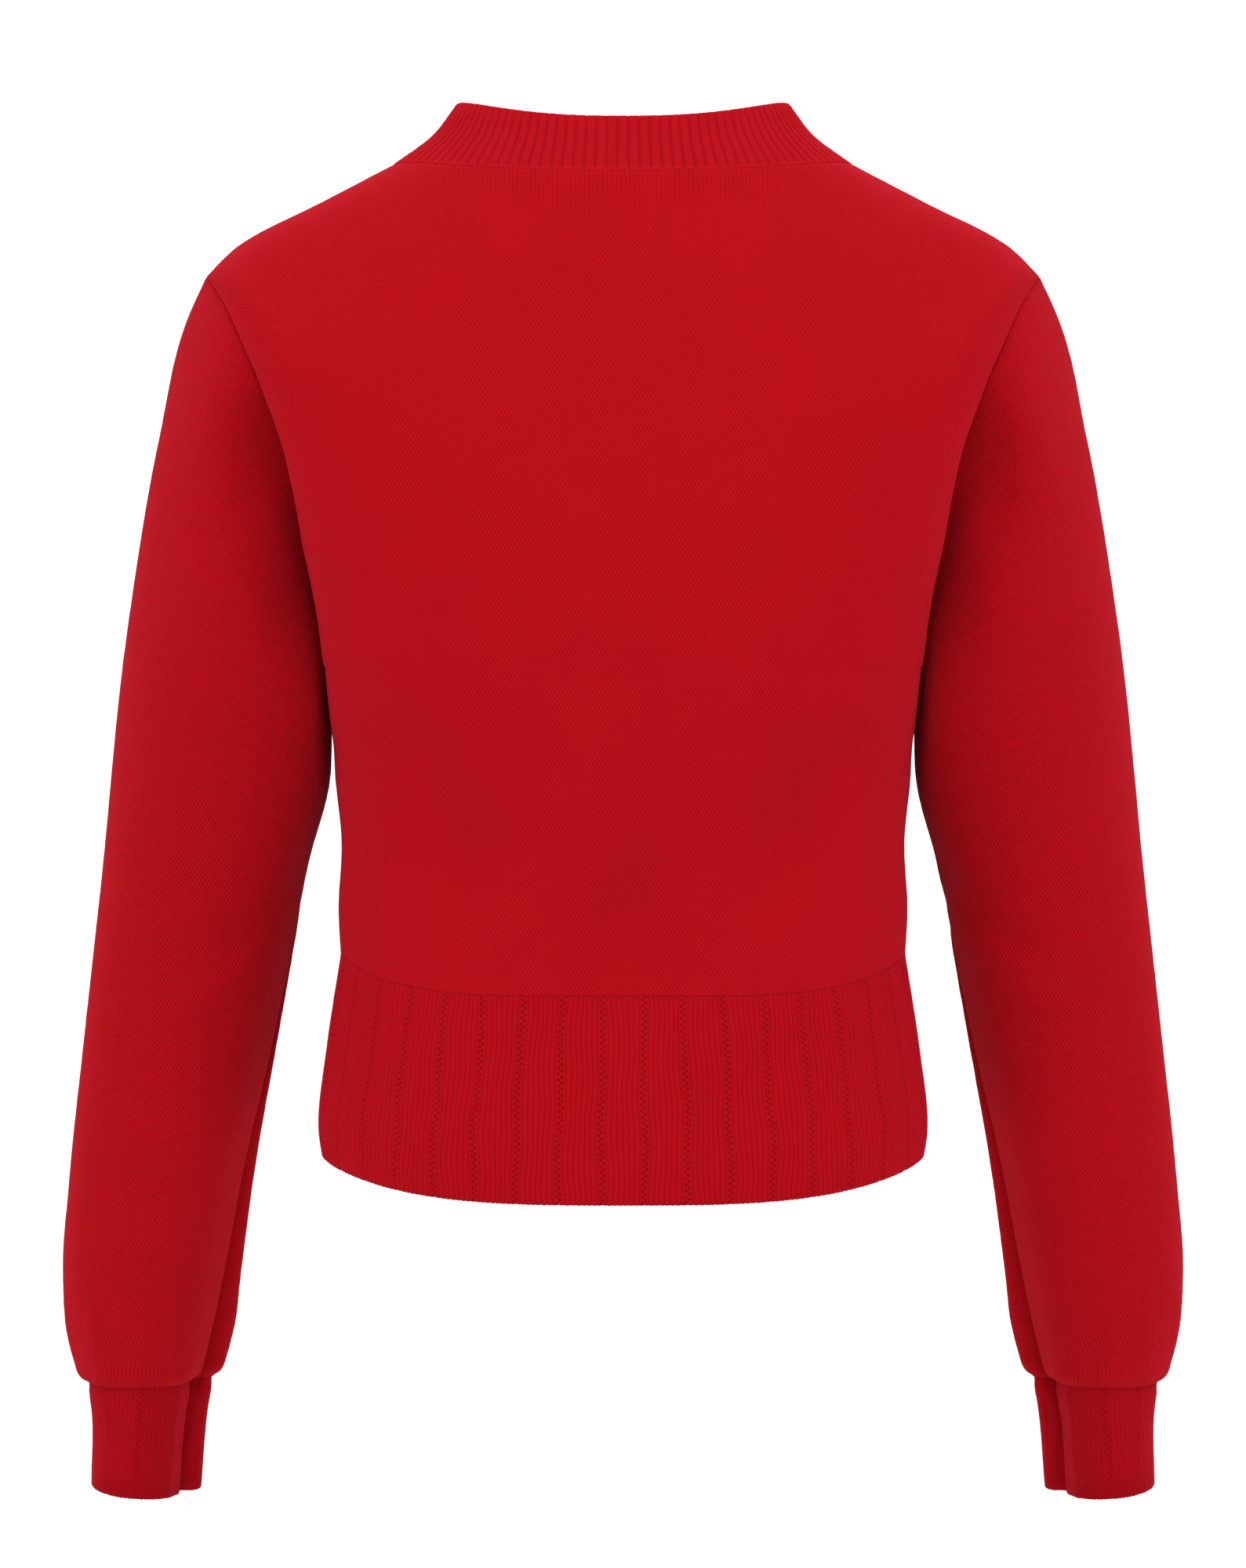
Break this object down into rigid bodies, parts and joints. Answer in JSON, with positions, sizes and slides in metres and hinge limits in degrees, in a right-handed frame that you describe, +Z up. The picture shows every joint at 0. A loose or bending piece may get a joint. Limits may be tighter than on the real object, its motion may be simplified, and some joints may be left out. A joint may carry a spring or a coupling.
{
  "type": "round-neck knit top",
  "caption": "Long-sleeved cropped knit top with a round ribbed neckband, ribbed hem and ribbed cuffs, hollow as worn.",
  "frame": {"origin": "between the shoulders, level with the sides of the neck seam, where the garment is carried", "axes": "+Z up, +Y out of the back, +X towards the left sleeve"},
  "size_m": [0.5468, 0.2285, 0.6733],
  "materials": {
    "body_knit": "matte red wool knit",
    "collar_knit": "matte red wool rib",
    "band_knit": "matte red wool rib with eyelet columns"
  },
  "bodies": {
    "root": {"back": "body_knit", "front": "body_knit", "sleeve_left": "body_knit", "sleeve_right": "body_knit", "collar": "collar_knit", "hem_back": "band_knit", "hem_front": "band_knit", "cuff_left": "band_knit", "cuff_right": "band_knit"}
  },
  "joints": []
}
